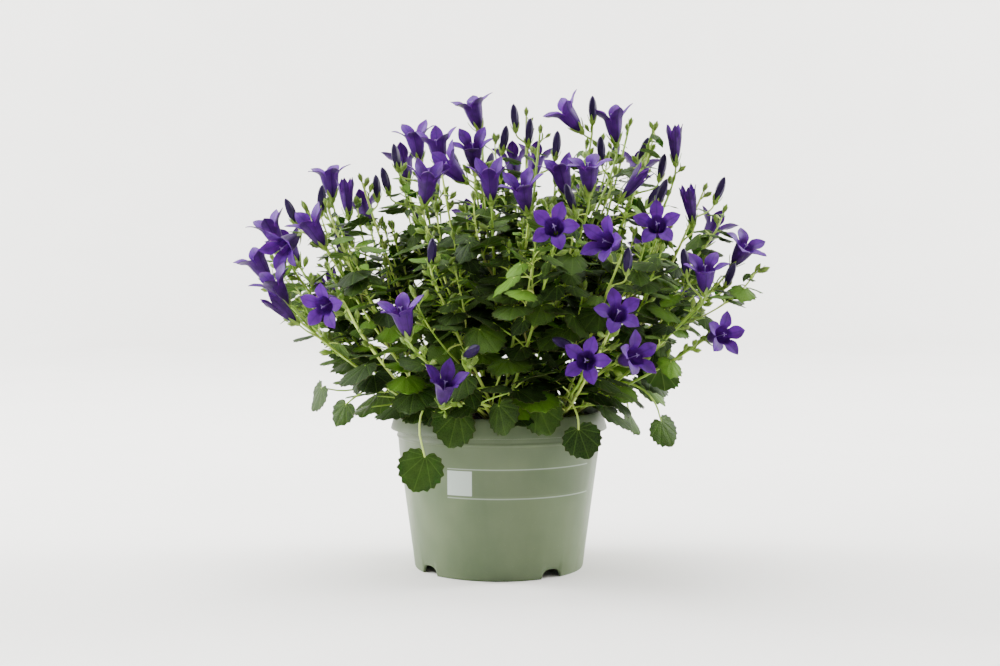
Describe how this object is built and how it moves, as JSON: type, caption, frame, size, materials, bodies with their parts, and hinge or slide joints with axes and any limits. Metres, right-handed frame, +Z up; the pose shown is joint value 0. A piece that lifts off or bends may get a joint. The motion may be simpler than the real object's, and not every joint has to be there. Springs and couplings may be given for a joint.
{
  "type": "potted bellflower plant",
  "caption": "Bellflower plant with upright leafy stems, open violet star-shaped bells and slender buds, rooted in soil in a round sage-green plastic nursery pot.",
  "frame": {"origin": "middle of the pot's foot, on the plane it stands on", "axes": "+Z up, the pot's axis; -Y toward the viewer of the picture; +X to the viewer's right"},
  "size_m": [0.2882, 0.2439, 0.2623],
  "materials": {
    "pot": "satin moulded sage-green plastic",
    "soil": "crumbly dark peat and bark fibre",
    "shoots": "matt green leaf and stem skin",
    "petals": "soft matt violet petal"
  },
  "bodies": {
    "root": {"pot": "pot", "soil": "soil", "inner_shoots_1": "shoots", "inner_shoots_2": "shoots", "inner_shoots_3": "shoots", "outer_shoots_1": "shoots", "outer_shoots_2": "shoots", "outer_shoots_3": "shoots", "outer_shoots_4": "shoots", "outer_shoots_5": "shoots", "outer_shoots_6": "shoots", "outer_shoots_7": "shoots", "bloom_01": "petals", "bloom_02": "petals", "bloom_03": "petals", "bloom_04": "petals", "bloom_05": "petals", "bloom_06": "petals", "bloom_07": "petals", "bloom_08": "petals", "bloom_09": "petals", "bloom_10": "petals", "bloom_11": "petals", "bloom_12": "petals", "bloom_13": "petals", "bloom_14": "petals", "bloom_15": "petals", "bloom_16": "petals", "bloom_17": "petals", "bloom_18": "petals", "bloom_19": "petals", "bloom_20": "petals", "bloom_21": "petals", "bloom_22": "petals", "bloom_23": "petals", "bloom_24": "petals", "bloom_25": "petals", "bloom_26": "petals", "bloom_27": "petals", "bloom_28": "petals", "bloom_29": "petals", "bloom_30": "petals", "bloom_31": "petals", "bloom_32": "petals", "bloom_33": "petals", "bloom_34": "petals", "bloom_35": "petals", "bloom_36": "petals", "bloom_37": "petals", "bloom_38": "petals", "bloom_39": "petals", "bloom_40": "petals", "bloom_41": "petals", "bloom_42": "petals", "bloom_43": "petals", "bloom_44": "petals", "bloom_45": "petals", "bloom_46": "petals", "bloom_47": "petals"}
  },
  "joints": []
}
